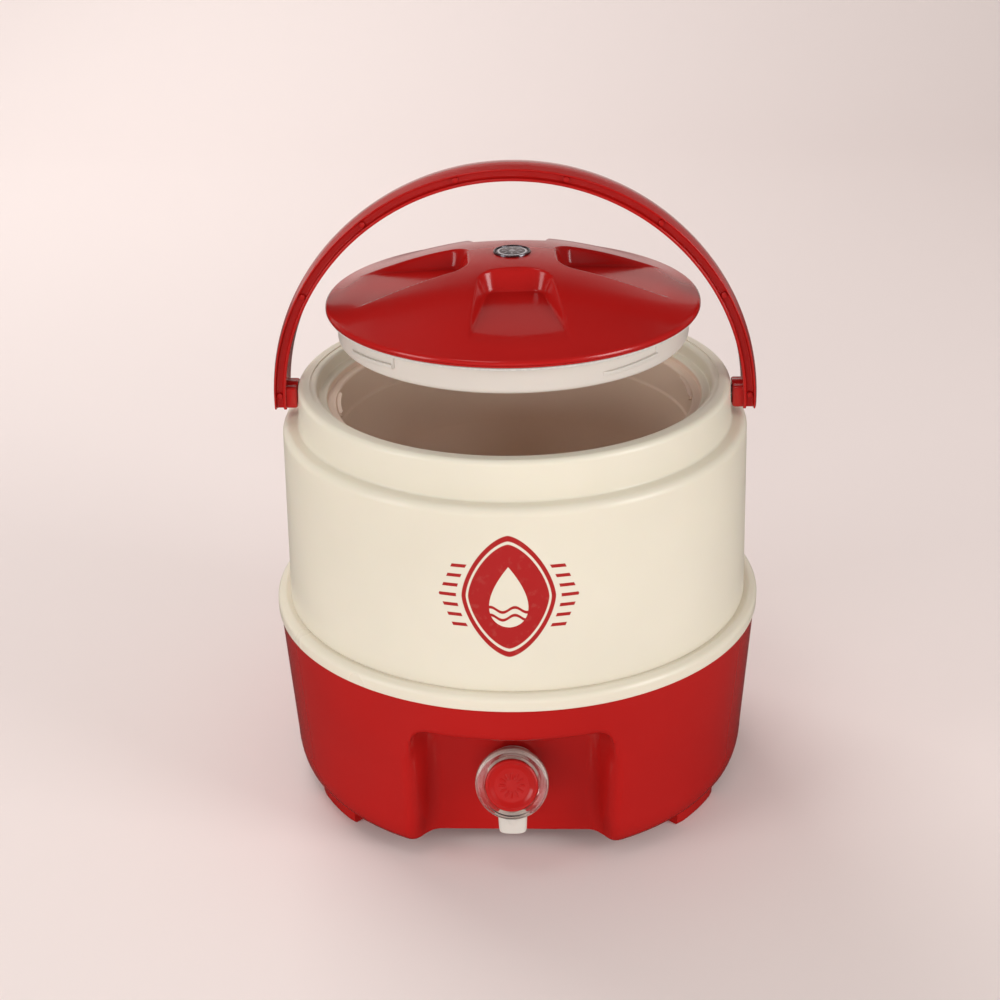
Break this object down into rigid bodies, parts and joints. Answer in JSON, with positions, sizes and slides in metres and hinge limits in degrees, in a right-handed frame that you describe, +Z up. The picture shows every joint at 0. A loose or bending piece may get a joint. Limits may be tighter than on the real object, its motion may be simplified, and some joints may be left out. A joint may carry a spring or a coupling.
{
  "type": "insulated water jug",
  "caption": "Round insulated drink jug with a swinging bail handle, a push-button tap in a front niche and a bayonet lid lifted off its mouth.",
  "frame": {"origin": "on the table under the jug's vertical axis, the middle of the bounding box's bottom face", "axes": "+Z up the jug's axis, -Y to the front where the tap is, +X to the jug's right-hand side as seen by a person facing the tap; the bail turns about X"},
  "size_m": [0.25, 0.25, 0.3245],
  "materials": {
    "shell_cream": "satin moulded",
    "ring_white": "satin moulded",
    "liner_cream": "blow moulded, slightly waxy",
    "foam": "foamed in place",
    "moulded_red": "gloss moulded",
    "plug_white": "satin moulded",
    "seal_rubber": "soft, matt",
    "clear_plastic": "clear, slightly milky",
    "badge_dark": "gloss enamel",
    "badge_metal": "bright plated",
    "steel": "bright zinc plated"
  },
  "bodies": {
    "jug": {"outer_shell": "shell_cream", "skirt_ring": "ring_white", "liner_floor": "liner_cream", "inner_liner": "liner_cream", "liner_rim": "liner_cream", "insulation_foam": "foam", "base_shell": "moulded_red", "base_plate": "moulded_red", "foot_front_right": "moulded_red", "foot_screw_front_right": "steel", "foot_back_right": "moulded_red", "foot_screw_back_right": "steel", "foot_back_left": "moulded_red", "foot_screw_back_left": "steel", "foot_front_left": "moulded_red", "foot_screw_front_left": "steel", "pivot_pin_right": "steel", "pivot_pin_left": "steel", "tap_body": "plug_white", "tap_gasket_outer": "seal_rubber", "tap_gasket_inner": "seal_rubber", "tap_nut": "plug_white", "tap_collar": "clear_plastic", "tap_spring": "steel"},
    "bail": {"bail_handle": "moulded_red"},
    "seal": {"lid_seal": "seal_rubber"},
    "lid": {"lid_dome": "moulded_red", "lid_foam": "foam", "lid_plug": "plug_white", "lid_badge_ring": "badge_metal", "lid_badge_disc": "badge_dark"},
    "button": {"tap_button": "moulded_red", "tap_stem": "plug_white", "tap_valve_seal": "seal_rubber"}
  },
  "joints": [
    {"name": "bail_swing", "type": "hinge", "parent": "jug", "child": "bail", "pos_m": [0, 0, 0.2075], "axis": [1, 0, 0], "range_deg": [-90, 90]},
    {"name": "lid_lift", "type": "slide", "parent": "jug", "child": "seal", "axis": [0, 0, 1], "range_m": [-0.0466, 0.008]},
    {"name": "lid_turn", "type": "hinge", "parent": "seal", "child": "lid", "pos_m": [0, 0, 0.2547], "axis": [0, 0, 1], "range_deg": [-34, 0]},
    {"name": "tap_press", "type": "slide", "parent": "jug", "child": "button", "axis": [0, 0.9397, -0.342], "range_m": [0, 0.0036], "stiffness_N_per_m": 400, "springref_m": -0.005, "deforming": ["tap_spring"]}
  ]
}
